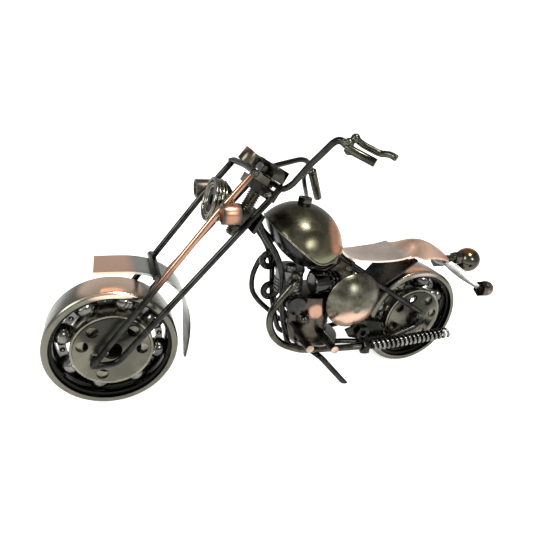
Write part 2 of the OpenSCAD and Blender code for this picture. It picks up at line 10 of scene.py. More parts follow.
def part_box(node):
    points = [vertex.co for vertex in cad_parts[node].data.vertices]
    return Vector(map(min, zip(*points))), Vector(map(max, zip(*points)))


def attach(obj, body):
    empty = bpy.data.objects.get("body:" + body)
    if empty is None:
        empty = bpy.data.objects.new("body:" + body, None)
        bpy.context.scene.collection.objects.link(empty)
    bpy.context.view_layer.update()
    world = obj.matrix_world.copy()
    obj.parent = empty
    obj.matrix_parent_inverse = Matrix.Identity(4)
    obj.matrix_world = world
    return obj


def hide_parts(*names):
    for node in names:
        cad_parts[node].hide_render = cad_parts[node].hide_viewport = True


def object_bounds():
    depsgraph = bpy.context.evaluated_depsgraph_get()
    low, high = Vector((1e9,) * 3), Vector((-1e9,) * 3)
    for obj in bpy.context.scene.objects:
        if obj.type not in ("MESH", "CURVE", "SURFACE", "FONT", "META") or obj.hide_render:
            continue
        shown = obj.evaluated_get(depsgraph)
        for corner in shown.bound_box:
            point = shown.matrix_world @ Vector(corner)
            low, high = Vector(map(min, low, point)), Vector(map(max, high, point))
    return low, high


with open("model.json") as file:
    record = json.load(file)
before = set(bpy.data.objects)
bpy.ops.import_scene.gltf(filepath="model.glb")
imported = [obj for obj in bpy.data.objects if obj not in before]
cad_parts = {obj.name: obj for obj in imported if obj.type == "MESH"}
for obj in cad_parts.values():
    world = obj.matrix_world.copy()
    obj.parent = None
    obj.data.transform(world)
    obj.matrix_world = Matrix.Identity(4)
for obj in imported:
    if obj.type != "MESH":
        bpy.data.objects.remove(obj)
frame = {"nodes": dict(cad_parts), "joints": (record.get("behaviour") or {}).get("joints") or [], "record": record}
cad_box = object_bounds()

# A chopper ornament welded from bearings, rod, bolts and sheet. Lengths here are millimetres unless
# a name says otherwise, and MM turns them into Blender's metres.
MM = 0.001
NODES = frame["nodes"]
BODY = {n: b for b, members in frame["record"]["behaviour"]["bodies"].items() for n in members}
MIDDLE = (cad_box[0] + cad_box[1]) / 2


# ---------- camera, floor and light ----------

CAMERA_AT = Vector((-69.15, -144.5, 117.4))
CAMERA_RIGHT = Vector((0.9411, -0.3256, 0.0915))
CAMERA_UP = Vector((0.0509, 0.4038, 0.9135))
CAMERA_BACK = Vector((-0.3344, -0.8550, 0.3965))
LENS = 28.81
SENSOR = 36.0


def link(thing):
    bpy.context.scene.collection.objects.link(thing)
    return thing


def make_camera():
    data = bpy.data.cameras.new("camera")
    data.lens = LENS
    data.sensor_width = SENSOR
    data.clip_start = 0.01
    data.clip_end = 20
    camera = link(bpy.data.objects.new("camera", data))
    turn = Matrix((CAMERA_RIGHT, CAMERA_UP, CAMERA_BACK)).transposed().to_4x4()
    camera.matrix_world = Matrix.Translation(CAMERA_AT * MM) @ turn
    bpy.context.scene.camera = camera


def area_light(name, azimuth, elevation, distance, size, watts):
    a, e = math.radians(azimuth), math.radians(elevation)
    way = Vector((math.cos(a) * math.cos(e), math.sin(a) * math.cos(e), math.sin(e)))
    data = bpy.data.lights.new(name, "AREA")
    data.shape = "DISK"
    data.size = size
    data.energy = watts
    light = link(bpy.data.objects.new(name, data))
    light.location = MIDDLE + way * distance
    light.rotation_euler = way.to_track_quat("Z", "Y").to_euler()


# Glow of the floor and of the world, first as the camera sees it and then as a reflection does.
# The dimmer reflections keep the metals dark over a white floor.
FLOOR_GLOW = (0.7, 0.12)
WORLD_GLOW = (1.0, 0.5)
FLOOR_HALF_M = 6.0
FLOOR_DROP_M = 0.00002


def glow_by_ray(tree, socket, glow):
    """Gives a strength one value for the camera and another for reflections."""
    rays = tree.nodes.new("ShaderNodeLightPath")
    pick = tree.nodes.new("ShaderNodeMapRange")
    pick.inputs["To Min"].default_value, pick.inputs["To Max"].default_value = glow
    tree.links.new(rays.outputs["Is Glossy Ray"], pick.inputs["Value"])
    tree.links.new(pick.outputs["Result"], socket)


def make_floor():
    mesh = bpy.data.meshes.new("floor")
    half = FLOOR_HALF_M
    low = cad_box[0].z - FLOOR_DROP_M
    mesh.from_pydata(
        [(-half, -half, low), (half, -half, low), (half, half, low), (-half, half, low)], [], [(0, 1, 2, 3)]
    )
    floor = link(bpy.data.objects.new("floor", mesh))
    paper = bpy.data.materials.new("floor_paper")
    paper.use_nodes = True
    shader = paper.node_tree.nodes["Principled BSDF"]
    shader.inputs["Base Color"].default_value = (0.9, 0.9, 0.9, 1)
    shader.inputs["Roughness"].default_value = 0.9
    shader.inputs["Emission Color"].default_value = (1, 1, 1, 1)
    glow_by_ray(paper.node_tree, shader.inputs["Emission Strength"], FLOOR_GLOW)
    mesh.materials.append(paper)


def make_world():
    world = bpy.data.worlds.new("studio")
    world.use_nodes = True
    bpy.context.scene.world = world
    tree = world.node_tree
    back = tree.nodes["Background"]
    where = tree.nodes.new("ShaderNodeTexCoord")
    split = tree.nodes.new("ShaderNodeSeparateXYZ")
    ramp = tree.nodes.new("ShaderNodeValToRGB")
    tree.links.new(where.outputs["Generated"], split.inputs[0])
    tree.links.new(split.outputs["Z"], ramp.inputs[0])
    tree.links.new(ramp.outputs[0], back.inputs["Color"])
    ramp.color_ramp.elements[0].position = 0.3
    ramp.color_ramp.elements[0].color = (1, 1, 1, 1)
    ramp.color_ramp.elements[1].position = 0.72
    ramp.color_ramp.elements[1].color = (0.55, 0.55, 0.55, 1)
    glow_by_ray(tree, back.inputs["Strength"], WORLD_GLOW)


# ---------- materials ----------


# Places of the colour sockets on a Mix node.
COLOUR_A, COLOUR_B, COLOUR_OUT = 6, 7, 2


class Shader:
    """One metal, mixed from tones that follow places on the object."""

    def __init__(self, name, rough, grain=120.0):
        self.material = bpy.data.materials.new(name)
        self.material.use_nodes = True
        self.tree = self.material.node_tree
        self.bsdf = self.tree.nodes["Principled BSDF"]
        self.bsdf.inputs["Metallic"].default_value = 1.0
        self.place = self.add("ShaderNodeTexCoord").outputs["Object"]
        self.cloud = self.noise(grain, 5.0, 0.6)
        grit = self.noise(grain * 9, 3.0, 0.6)
        spread = self.ramp(self.cloud, 0.3, 0.7, rough[0], rough[1])
        self.tree.links.new(spread, self.bsdf.inputs["Roughness"])
        bump = self.add("ShaderNodeBump")
        bump.inputs["Strength"].default_value = 0.1
        bump.inputs["Distance"].default_value = 0.05 * MM
        self.tree.links.new(grit, bump.inputs["Height"])
        self.tree.links.new(bump.outputs[0], self.bsdf.inputs["Normal"])

    def add(self, kind):
        return self.tree.nodes.new(kind)

    def noise(self, scale, detail, rough):
        node = self.add("ShaderNodeTexNoise")
        node.inputs["Scale"].default_value = scale
        node.inputs["Detail"].default_value = detail
        node.inputs["Roughness"].default_value = rough
        self.tree.links.new(self.place, node.inputs["Vector"])
        return node.outputs["Fac"]

    def ramp(self, value, low, high, to_low, to_high):
        node = self.add("ShaderNodeMapRange")
        node.interpolation_type = "SMOOTHSTEP"
        node.inputs["From Min"].default_value = low
        node.inputs["From Max"].default_value = high
        node.inputs["To Min"].default_value = to_low
        node.inputs["To Max"].default_value = to_high
        self.tree.links.new(value, node.inputs["Value"])
        return node.outputs["Result"]

    def mix(self, factor, first, second):
        node = self.add("ShaderNodeMix")
        node.data_type = "RGBA"
        self.tree.links.new(factor, node.inputs[0])
        for socket, tone in ((node.inputs[COLOUR_A], first), (node.inputs[COLOUR_B], second)):
            if isinstance(tone, tuple):
                socket.default_value = (*tone, 1)
            else:
                self.tree.links.new(tone, socket)
        return node.outputs[COLOUR_OUT]

    def math(self, kind, first, second):
        node = self.add("ShaderNodeMath")
        node.operation = kind
        for socket, value in zip(node.inputs, (first, second)):
            if isinstance(value, (int, float)):
                socket.default_value = value
            else:
                self.tree.links.new(value, socket)
        return node.outputs[0]

    def patch(self, colour, tone, centre, size, lean=0.0, ragged=0.5):
        """Lays a tone over the colour in an ellipsoid with a ragged edge, turned up from +X by lean."""
        shift = self.add("ShaderNodeMapping")
        shift.vector_type = "TEXTURE"
        shift.inputs["Location"].default_value = Vector(centre) * MM
        shift.inputs["Rotation"].default_value = (0, -lean, 0)
        shift.inputs["Scale"].default_value = Vector(size) * MM
        self.tree.links.new(self.place, shift.inputs["Vector"])
        reach = self.add("ShaderNodeVectorMath")
        reach.operation = "LENGTH"
        self.tree.links.new(shift.outputs[0], reach.inputs[0])
        uneven = self.math("MULTIPLY", self.cloud, ragged)
        distance = self.math("ADD", reach.outputs["Value"], uneven)
        inside = self.ramp(distance, 0.65 + ragged / 2, 1.1 + ragged / 2, 1.0, 0.0)
        return self.mix(inside, colour, tone)

    def band(self, colour, tone, axle, low, high):
        """Lays a tone over the colour between two distances from an axle along Y."""
        shift = self.add("ShaderNodeVectorMath")
        shift.operation = "SUBTRACT"
        shift.inputs[1].default_value = Vector(axle) * MM
        flat = self.add("ShaderNodeVectorMath")
        flat.operation = "MULTIPLY"
        flat.inputs[1].default_value = (1, 0, 1)
        reach = self.add("ShaderNodeVectorMath")
        reach.operation = "LENGTH"
        self.tree.links.new(self.place, shift.inputs[0])
        self.tree.links.new(shift.outputs[0], flat.inputs[0])
        self.tree.links.new(flat.outputs[0], reach.inputs[0])
        blur = 0.1
        away = reach.outputs["Value"]
        above = self.ramp(away, (low - blur) * MM, (low + blur) * MM, 0.0, 1.0)
        below = self.ramp(away, (high - blur) * MM, (high + blur) * MM, 1.0, 0.0)
        return self.mix(self.math("MULTIPLY", above, below), colour, tone)

    def finish(self, colour):
        self.tree.links.new(colour, self.bsdf.inputs["Base Color"])
        return self.material


COPPER = (0.6, 0.3, 0.18)
PALE_COPPER = (0.7, 0.47, 0.35)
REAR_TREAD_SHEEN = (0.5, 0.41, 0.34)
OLIVE = (0.27, 0.26, 0.2)
OLIVE_DARK = (0.14, 0.135, 0.1)
BLACK = (0.014, 0.014, 0.012)
BLACK_LIGHT = (0.045, 0.045, 0.04)
GREY = (0.2, 0.2, 0.185)


def plain_metal(name, dark, light, rough, patches=(), grain=120.0, bands=()):
    shader = Shader(name, rough, grain)
    colour = shader.mix(shader.ramp(shader.cloud, 0.35, 0.65, 0.0, 1.0), dark, light)
    for patch in patches:
        colour = shader.patch(colour, *patch)
    for band in bands:
        colour = shader.band(colour, *band)
    return shader.finish(colour)


def make_materials():
    front, rear = WHEELS["front"], WHEELS["rear"]
    tank = centre_of("tank_dome")
    cap = centre_of("side_caps")
    low_fender, high_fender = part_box("front_fender")
    crank = centre_of("crankcase")
    tail = centre_of("tail_light")
    made = {
        "black": plain_metal("black_rod", BLACK, BLACK_LIGHT, (0.16, 0.3)),
        "gunmetal": plain_metal("gunmetal", OLIVE_DARK, OLIVE, (0.18, 0.36)),
        "steel": plain_metal("bearing_steel", (0.42, 0.42, 0.38), (0.6, 0.6, 0.56), (0.06, 0.16)),
        "grey": plain_metal("grey_zinc", (0.1, 0.1, 0.09), GREY, (0.22, 0.4)),
        "pale": plain_metal("pale_zinc", (0.2, 0.2, 0.195), (0.28, 0.28, 0.27), (0.32, 0.45)),
        "soot": plain_metal("soot", (0.012, 0.012, 0.012), (0.03, 0.03, 0.027), (0.35, 0.6)),
    }
    for end, axle in (("front", front), ("rear", rear)):
        made[end + "_ring"] = plain_metal(
            end + "_ring", (0.1, 0.096, 0.075), (0.17, 0.165, 0.13), (0.16, 0.28),
            [
                # Painted sheen: the patch on top of the tread is a painted highlight, pale copper on the front
                # ring and warm grey on the rear.
                ((0.9, 0.66, 0.5) if end == "front" else REAR_TREAD_SHEEN,
                 (axle.x + 2, axle.y, axle.z + 24), (19, 12, 4.5)),
            ],
            60.0,
            # Painted shade: a black band over the recessed inner step of the outer race, between 19 and 21.15 mm
            # from the axle.
            [(BLACK, axle, 19.0, 21.15)],
        )
    made["tank"] = plain_metal(
        "tank_skin", (0.075, 0.07, 0.047), (0.14, 0.13, 0.085), (0.22, 0.32),
        [
            (COPPER, (tank.x + 10, tank.y - 12, tank.z + 3), (7, 10, 9)),
            # Painted reflection: a lighter olive patch low on the near side of the tank stands in for the floor's
            # reflection.
            ((0.17, 0.17, 0.1), (tank.x + 2, tank.y - 15, tank.z - 4), (9, 5, 4)),
        ],
    )
    made["cap"] = plain_metal(
        "cap_skin", (0.07, 0.067, 0.048), (0.17, 0.163, 0.12), (0.22, 0.34),
        [
            (PALE_COPPER, (cap.x + 2, 0, cap.z - 10), (15, 90, 9)),
            (OLIVE_DARK, (cap.x - 1, low_of("side_caps").y, cap.z - 1.5), (1.8, 2, 1.8)),
        ],
    )
    made["front_fender"] = plain_metal(
        "front_fender_skin", (0.34, 0.35, 0.31), (0.46, 0.47, 0.42), (0.26, 0.4),
        [
            ((0.9, 0.58, 0.43), (low_fender.x / MM + 1, 0, high_fender.z / MM), (13, 30, 8)),
            # Painted shade: the low rear end of the fender is darkened to near black.
            ((0.035, 0.035, 0.03), (high_fender.x / MM, 0, low_fender.z / MM), (10, 30, 28)),
        ],
    )
    made["seat"] = plain_metal(
        "seat_skin", (0.72, 0.6, 0.51), (0.9, 0.77, 0.67), (0.3, 0.44),
        # Painted shadow: a dark brown spot on the seat where the top of the lower rear fender meets it.
        [((0.2, 0.13, 0.09), top_of("rear_fender_lower") - Vector((3, -2, 0)), (3, 5, 4))],
    )
    made["rear_fender"] = plain_metal("rear_fender_skin", (0.82, 0.52, 0.38), (0.95, 0.66, 0.5), (0.3, 0.44))
    made["crank"] = plain_metal(
        "crankcase_skin", (0.05, 0.045, 0.035), (0.11, 0.09, 0.07), (0.2, 0.34),
        # Painted highlight: a copper-coloured spot on the near side of the crankcase.
        [((0.48, 0.28, 0.2), (crank.x - 0.8, crank.y - 9, crank.z + 4.5), (3.6, 5, 3.6))],
    )
    rod_low, rod_high = tip("fork_rod_left", (-1, 0, 0)), tip("fork_rod_left", (0, 0, 1))
    lean = math.atan2(rod_high.z - rod_low.z, rod_high.x - rod_low.x)
    made["fork"] = plain_metal(
        "fork_skin", BLACK, BLACK_LIGHT, (0.14, 0.28),
        # Painted highlight: a copper line along the upper part of the near fork rod.
        [((0.42, 0.23, 0.15), rod_low + (rod_high - rod_low) * 0.74, (30, 4, 2.6), lean, 0.5)],
    )
    made["pegs"] = plain_metal(
        "peg_skin", BLACK, BLACK_LIGHT, (0.2, 0.4),
        [(PALE_COPPER, (centre_of("foot_pegs").x, side * 23, centre_of("foot_pegs").z), (12, 1.6, 6))
         for side in (-1, 1)],
    )
    made["lamp"] = plain_metal(
        "lamp_skin", (0.05, 0.045, 0.035), (0.13, 0.11, 0.085), (0.3, 0.42),
        [((0.42, 0.22, 0.14), low_of("spot_lamps") + Vector((5.4, 4, 4)), (3.2, 6, 6))],
    )
    made["gauge"] = plain_metal(
        "gauge_skin", (0.06, 0.05, 0.04), (0.14, 0.12, 0.09), (0.2, 0.34),
        [(COPPER, top_of("speedometer") - Vector((4.5, 0, 0.4)), (4.5, 6, 2.4))],
    )
    made["tail"] = plain_metal(
        "tail_skin", (0.05, 0.048, 0.038), (0.1, 0.095, 0.07), (0.1, 0.2),
        [((0.4, 0.16, 0.06), (tail.x - 2, tail.y - 1, tail.z + 6), (3, 4, 3))],
    )
    made["signal"] = plain_metal("signal_skin", (0.16, 0.1, 0.09), (0.28, 0.2, 0.18), (0.14, 0.26))
    return made


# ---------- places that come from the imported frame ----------


def points_of(node):
    mesh = NODES[node].data
    flat = np.empty(len(mesh.vertices) * 3)
    mesh.vertices.foreach_get("co", flat)
    return flat.reshape(-1, 3) / MM


def centre_of(node):
    low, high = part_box(node)
    return (low + high) / 2 / MM


def low_of(node):
    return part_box(node)[0] / MM


def top_of(node):
    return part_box(node)[1] / MM


def tip(node, way, side=0):
    """Middle of what lies farthest along a direction, on one side of the machine if asked."""
    points = points_of(node)
    if side:
        points = points[points[:, 1] * side > 0]
    along = points @ np.array(way, float)
    return Vector(points[along > along.max() - 0.1].mean(axis=0))


def long_axis(node, side=0):
    """The two ends of a straight round part, with the -X or lower end first."""
    points = points_of(node)
    if side:
        points = points[points[:, 1] * side > 0]
    middle = points.mean(axis=0)
    _, _, axes = np.linalg.svd(points - middle, full_matrices=False)
    way = axes[0] if axes[0][0] > 0 else -axes[0]
    along = (points - middle) @ way
    return Vector(middle + way * along.min()), Vector(middle + way * along.max())


WHEELS = {end: centre_of(end + "_outer_race") for end in ("front", "rear")}
TANK = centre_of("tank_dome")


# ---------- making pieces ----------


def settle(piece, material, body, nodes=(), smooth=50):
    mesh = piece.data
    mesh.materials.clear()
    mesh.materials.append(LOOKS[material])
    mesh.polygons.foreach_set("material_index", [0] * len(mesh.polygons))
    if smooth:
        mesh.shade_smooth()
        mesh.set_sharp_from_angle(angle=math.radians(smooth))
    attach(piece, body)
    if nodes:
        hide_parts(*nodes)
    return piece


def apply_modifiers(piece):
    bpy.context.view_layer.update()
    graph = bpy.context.evaluated_depsgraph_get()
    old = piece.data
    piece.data = bpy.data.meshes.new_from_object(piece.evaluated_get(graph))
    piece.modifiers.clear()
    bpy.data.meshes.remove(old)


def copy_of(node, name):
    mesh = NODES[node].data.copy()
    for layer in list(mesh.uv_layers):
        mesh.uv_layers.remove(layer)
    if mesh.has_custom_normals:
        mesh.attributes.remove(mesh.attributes["custom_normal"])
    edit = bmesh.new()
    edit.from_mesh(mesh)
    bmesh.ops.remove_doubles(edit, verts=edit.verts, dist=0.002 * MM)
    edit.to_mesh(mesh)
    edit.free()
    return link(bpy.data.objects.new(name, mesh))


def roughen(mesh, depth, scale):
    """Moves each point a little along its normal, as hand work and dents do."""
    if not depth:
        return
    normals = [v.normal.copy() for v in mesh.vertices]
    for vertex, normal in zip(mesh.vertices, normals):
        vertex.co += normal * (noise.noise(vertex.co * (1000 / scale)) * depth * MM)
    mesh.update()


def fine(node, material, voxel=0.25, rounds=8, dents=0.012, dent_size=4.0):
    """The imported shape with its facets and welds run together."""
    piece = copy_of(node, node + "_fine")
    voxels = piece.modifiers.new("voxels", "REMESH")
    voxels.mode = "VOXEL"
    voxels.voxel_size = voxel * MM
    ease = piece.modifiers.new("ease", "SMOOTH")
    ease.factor = 0.5
    ease.iterations = rounds
    apply_modifiers(piece)
    roughen(piece.data, dents, dent_size)
    return settle(piece, material, BODY[node], [node], smooth=60)


def eased(node, material, width=0.18):
    """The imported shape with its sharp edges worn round."""
    piece = copy_of(node, node + "_eased")
    merge = piece.modifiers.new("merge", "DECIMATE")
    merge.decimate_type = "DISSOLVE"
    merge.angle_limit = math.radians(0.6)
    bevel = piece.modifiers.new("bevel", "BEVEL")
    bevel.width = width * MM
    bevel.segments = 2
    bevel.limit_method = "ANGLE"
    bevel.angle_limit = math.radians(35)
    bevel.use_clamp_overlap = True
    bevel.harden_normals = False
    apply_modifiers(piece)
    return settle(piece, material, BODY[node], [node], smooth=32)


def pressed(node, material, dents=0.12, dent_size=9.0):
    """A sheet that runs smoothly through its stations."""
    piece = copy_of(node, node + "_pressed")
    edit = bmesh.new()
    edit.from_mesh(piece.data)
    bmesh.ops.join_triangles(
        edit, faces=edit.faces, angle_face_threshold=math.radians(25), angle_shape_threshold=math.radians(60)
    )
    crease = edit.edges.layers.float.new("crease_edge")
    for edge in edit.edges:
        if len(edge.link_faces) == 2 and edge.calc_face_angle() > math.radians(55):
            edge[crease] = 1.0
    edit.to_mesh(piece.data)
    edit.free()
    divide = piece.modifiers.new("divide", "SUBSURF")
    divide.levels = 4
    divide.render_levels = 4
    apply_modifiers(piece)
    mesh = piece.data
    for vertex in mesh.vertices:
        vertex.co.z += noise.noise(vertex.co * (1000 / dent_size)) * dents * MM
    mesh.update()
    return settle(piece, material, BODY[node], [node], smooth=40)


def from_grid(name, rows, closed_across, closed_along=False):
    """A mesh from rows of points in millimetres, each row as long as the next."""
    high, wide = len(rows), len(rows[0])
    points = [p * MM for row in rows for p in row]
    faces = []
    for i in range(high if closed_along else high - 1):
        for j in range(wide if closed_across else wide - 1):
            a, b = i * wide + j, i * wide + (j + 1) % wide
            c, d = ((i + 1) % high) * wide + (j + 1) % wide, ((i + 1) % high) * wide + j
            faces.append((a, b, c, d))
    if closed_across and not closed_along:
        faces.append(tuple(range(wide))[::-1])
        faces.append(tuple((high - 1) * wide + j for j in range(wide)))
    mesh = bpy.data.meshes.new(name)
    mesh.from_pydata(points, [], faces)
    edit = bmesh.new()
    edit.from_mesh(mesh)
    bmesh.ops.recalc_face_normals(edit, faces=edit.faces)
    edit.to_mesh(mesh)
    edit.free()
    return link(bpy.data.objects.new(name, mesh))


def across(way):
    """Two directions at right angles to a direction and to each other."""
    way = way.normalized()
    first = way.orthogonal().normalized()
    return first, way.cross(first)


def sweep(name, path, radius, sides=10, closed=False):
    """A round wire along a path. The radius is a number or a function of how far along it is."""
    rows = []
    last = len(path) - 1
    first = None
    for i, point in enumerate(path):
        ahead = path[(i + 1) % len(path)] if closed or i < last else point
        behind = path[i - 1] if closed or i > 0 else point
        way = (ahead - behind).normalized()
        if first is None:
            first = across(way)[0]
        first = (first - way * first.dot(way)).normalized()
        second = way.cross(first)
        r = radius(i / last) if callable(radius) else radius
        rows.append([
            point + (first * math.cos(t) + second * math.sin(t)) * r
            for t in (2 * math.pi * j / sides for j in range(sides))
        ])
    return from_grid(name, rows, True, closed)


def turned(name, start, end, profile, sides=48):
    """A part turned on a lathe, from pairs of distance along the axis and radius."""
    way = (end - start).normalized()
    first, second = across(way)
    rows = [
        [
            start + way * along + (first * math.cos(t) + second * math.sin(t)) * radius
            for t in (2 * math.pi * j / sides for j in range(sides))
        ]
        for along, radius in profile
    ]
    return from_grid(name, rows, True)


def weld(name, at, body, size=1.6, flat=0.7, way=(0, 0, 1)):
    """A lump of weld metal."""
    edit = bmesh.new()
    bmesh.ops.create_icosphere(edit, subdivisions=4, radius=1.0)
    squash = Matrix.Diagonal((1, 1, flat, 1))
    turn = Vector(way).to_track_quat("Z", "Y").to_matrix().to_4x4()
    for vertex in edit.verts:
        broad = 0.28 * noise.noise(vertex.co * 2.1 + Vector(at))
        lump = 1 + broad + 0.1 * noise.noise(vertex.co * 5 + Vector(at))
        vertex.co = (Vector(at) + (turn @ squash) @ (vertex.co * size * lump)) * MM
    mesh = bpy.data.meshes.new(name)
    edit.to_mesh(mesh)
    edit.free()
    piece = link(bpy.data.objects.new(name, mesh))
    return settle(piece, "weld", body)


# ---------- wheels ----------

CAGE_IN, CAGE_OUT = 1.35, 1.25
CAGE_T = 0.42
BALL_R = (top_of("front_balls").y - low_of("front_balls").y) / 2


def ball_angles(end):
    """Angles of the balls about the axle, from +X towards +Z."""
    axle = WHEELS[end]
    points = points_of(end + "_balls")
    turn = np.arctan2(points[:, 2] - axle.z, points[:, 0] - axle.x)
    count = 8
    start = math.atan2(np.sin(count * turn).mean(), np.cos(count * turn).mean()) / count
    reach = np.hypot(points[:, 2] - axle.z, points[:, 0] - axle.x)
    return [start + 2 * math.pi * k / count for k in range(count)], (reach.min() + reach.max()) / 2


def on_wheel(end, angle, radius, y):
    axle = WHEELS[end]
    return Vector((axle.x + radius * math.cos(angle), y, axle.z + radius * math.sin(angle)))


def cage_half(end, side):
    """A stamped ribbon that dips between the balls and bulges round each of them."""
    angles, pitch = ball_angles(end)
    steps = 384
    clear = BALL_R + 0.12
    gap = 2 * math.pi / len(angles)
    rows = []
    for i in range(steps):
        angle = angles[0] + 2 * math.pi * i / steps
        off = (angle - angles[0] + gap / 2) % gap - gap / 2
        under, over = [], []
        for step in range(7):
            out = -CAGE_IN + (CAGE_IN + CAGE_OUT) * step / 6
            reach = clear * clear - (pitch * off) ** 2 - out * out
            rise = max(math.sqrt(max(reach, 0)), 0.12)
            under.append(on_wheel(end, angle, pitch + out, side * rise))
            over.append(on_wheel(end, angle, pitch + out, side * (rise + CAGE_T)))
        rows.append(under + over[::-1])
    return from_grid(f"{end}_cage_{'near' if side < 0 else 'far'}", rows, True, True)


def make_wheel(end):
    body = BODY[end + "_cage"]
    for side in (-1, 1):
        ribbon = cage_half(end, side)
        settle(ribbon, "cage", body, [end + "_cage"], smooth=35)
    angles, pitch = ball_angles(end)
    for k, angle in enumerate(angles):
        middle = angle + math.pi / len(angles)
        for side in (-1, 1):
            start = on_wheel(end, middle, pitch, side * 0.3)
            head = turned(
                f"{end}_rivet_{k}_{'near' if side < 0 else 'far'}", start, start + Vector((0, side, 0)),
                [(0, 0.95), (0.5, 0.9), (0.8, 0.7), (0.95, 0.3)], 16,
            )
            settle(head, "cage", body)
    eased(end + "_outer_race", end + "_ring", 0.25)
    eased(end + "_inner_race", "gunmetal", 0.25)
    eased(end + "_hub_discs", "disc", 0.12)


# ---------- threads, spring and turned parts ----------


def threaded(name, start, end, radius, pitch=0.8, depth=0.45, sides=32):
    way = (end - start).normalized()
    length = (end - start).length
    first, second = across(way)
    steps = int(length / pitch * 8)
    rows = []
    for i in range(steps + 1):
        along = length * i / steps
        row = []
        for j in range(sides):
            t = 2 * math.pi * j / sides
            phase = (along / pitch - j / sides) % 1
            r = radius - depth * abs(2 * phase - 1) ** 1.3
            taper = min(1.0, 0.8 + 0.4 * min(along, length - along))
            row.append(start + way * along + (first * math.cos(t) + second * math.sin(t)) * r * taper)
        rows.append(row)
    return from_grid(name, rows, True)


def make_steering():
    points = points_of("steering_bolt")
    joint = next(j for j in frame["joints"] if j["name"] == "steering")
    way = Vector(joint["axis"]).normalized()
    base = Vector(joint["pos_m"]) / MM
    along = (points - np.array(base)) @ np.array(way)
    shank_r = 2.5
    foot, top = base + way * float(along.min()), base + way * float(along.max())
    head_h = 3.2
    bolt = threaded("steering_thread", foot, top - way * head_h, shank_r, 0.9, 0.55)
    settle(bolt, "wire", "fork", ["steering_bolt"], smooth=25)
    head = turned(
        "steering_head", top - way * head_h, top,
        [(0, 4.2), (0.15, 4.5), (head_h - 0.5, 4.5), (head_h, 3.9)], 6,
    )
    settle(head, "gunmetal", "fork", smooth=20)


def make_spring():
    start, end = long_axis("muffler_spring")
    way = (end - start).normalized()
    first, second = across(way)
    outer = min(top_of("muffler_spring").y - low_of("muffler_spring").y, 5.2) / 2
    wire = 0.6
    turns = 17.5
    length = (end - start).length
    steps = int(turns * 26)
    path = []
    for i in range(steps + 1):
        u = i / steps
        along = wire + (length - 2 * wire) * u
        t = 2 * math.pi * turns * u
        path.append(start + way * along + (first * math.cos(t) + second * math.sin(t)) * (outer - wire))
    coil = sweep("muffler_coil", path, wire, 10)
    settle(coil, "spring", "chassis", ["muffler_spring"])
    core = turned(
        "muffler_core", start, end,
        [(0, 1.5), (length - 4, 1.5), (length - 3.6, 1.2), (length - 3.4, 0.4)], 24,
    )
    settle(core, "soot", "chassis")


def make_front_cylinder():
    low, high = low_of("front_cylinder"), top_of("front_cylinder")
    middle = centre_of("front_cylinder")
    r = (high.y - low.y) / 2
    start = Vector((high.x - r, middle.y, low.z))
    neck_z = high.z - 2.2 - low.z
    profile = [(0, r - 0.6), (0.3, r), (1.2, r), (1.5, r - 0.5)]
    for k in range(3):
        base = 2.0 + k * 1.3
        profile += [(base, r - 0.5), (base + 0.25, r - 0.15), (base + 0.75, r - 0.15), (base + 1.0, r - 0.5)]
    profile += [(6.2, r - 0.35), (neck_z - 1.6, r - 0.3), (neck_z - 1.4, r)]
    profile += [(neck_z - 0.2, r), (neck_z, r - 0.3)]
    barrel = turned("front_barrel", start, start + Vector((0, 0, 1)), profile)
    settle(barrel, "grey", "chassis", ["front_cylinder"], smooth=30)
    top = Vector((start.x - 1, start.y - 2.4, start.z + neck_z - 0.5))
    boss_profile = [(0, 2.4), (2.2, 2.4), (2.6, 2.1), (2.7, 1.2)]
    boss = turned("front_boss", top, top + Vector((0, 0, 1)), boss_profile, 32)
    settle(boss, "grey", "chassis")


def make_rear_cylinder():
    low, high = low_of("rear_cylinder"), top_of("rear_cylinder")
    r = (high.y - low.y) / 2
    axis_start = Vector((low.x, (low.y + high.y) / 2, (low.z + high.z) / 2))
    long = high.x - low.x
    profile = [(0, r - 0.8), (0.3, r - 0.5), (1.0, r - 0.5), (1.2, r - 1.1), (long * 0.55, r - 1.1)]
    for k in range(3):
        base = long * (0.58 + 0.14 * k)
        profile += [(base, r - 0.9), (base + 0.3, r), (base + 0.9, r), (base + 1.2, r - 0.9)]
    profile.append((long, r - 0.6))
    barrel = turned("rear_barrel", axis_start, axis_start + Vector((1, 0, 0)), profile)
    settle(barrel, "soot_gloss", "chassis", ["rear_cylinder"], smooth=30)


def make_headlight():
    """Turns of wire wound side by side make the rim of the lamp, with two more inside it."""
    points = points_of("headlight_ring")
    middle = points.mean(axis=0)
    _, _, axes = np.linalg.svd(points - middle, full_matrices=False)
    ahead = Vector(axes[2] if axes[2][0] < 0 else -axes[2])
    along = (points - middle) @ np.array(ahead)
    outer = np.linalg.norm((points - middle) - np.outer(along, ahead), axis=1).max()
    half = along.max()
    first, second = across(ahead)
    wire = 0.75
    rim_turns = 4
    gap = (2 * half - 2 * wire + 0.3) / (rim_turns - 1)
    rings = [(outer - wire - 0.3 * (k % 2), half - wire - gap * k) for k in range(rim_turns)]
    rings += [(outer - 2.5 * wire - 0.3, half - wire - 0.3), (outer - 4.2 * wire, half - wire - 0.7)]
    for k, (radius, offset) in enumerate(rings):
        path = []
        for i in range(64):
            t = 2 * math.pi * i / 64
            wander = 0.12 * math.sin(3 * t + k)
            out = (first * math.cos(t) + second * math.sin(t)) * radius
            path.append(Vector(middle) + ahead * (offset + wander) + out)
        ring = sweep(f"lamp_wire_{k}", path, wire - 0.13, 10, True)
        nodes = ["headlight_ring"] if k < rim_turns else []
        settle(ring, "wire", "fork", nodes)


TUCK = 4.5
TUCK_AHEAD, TUCK_LONG = 3.4, 10
TUCK_ABOVE, TUCK_HIGH = 1.1, 12


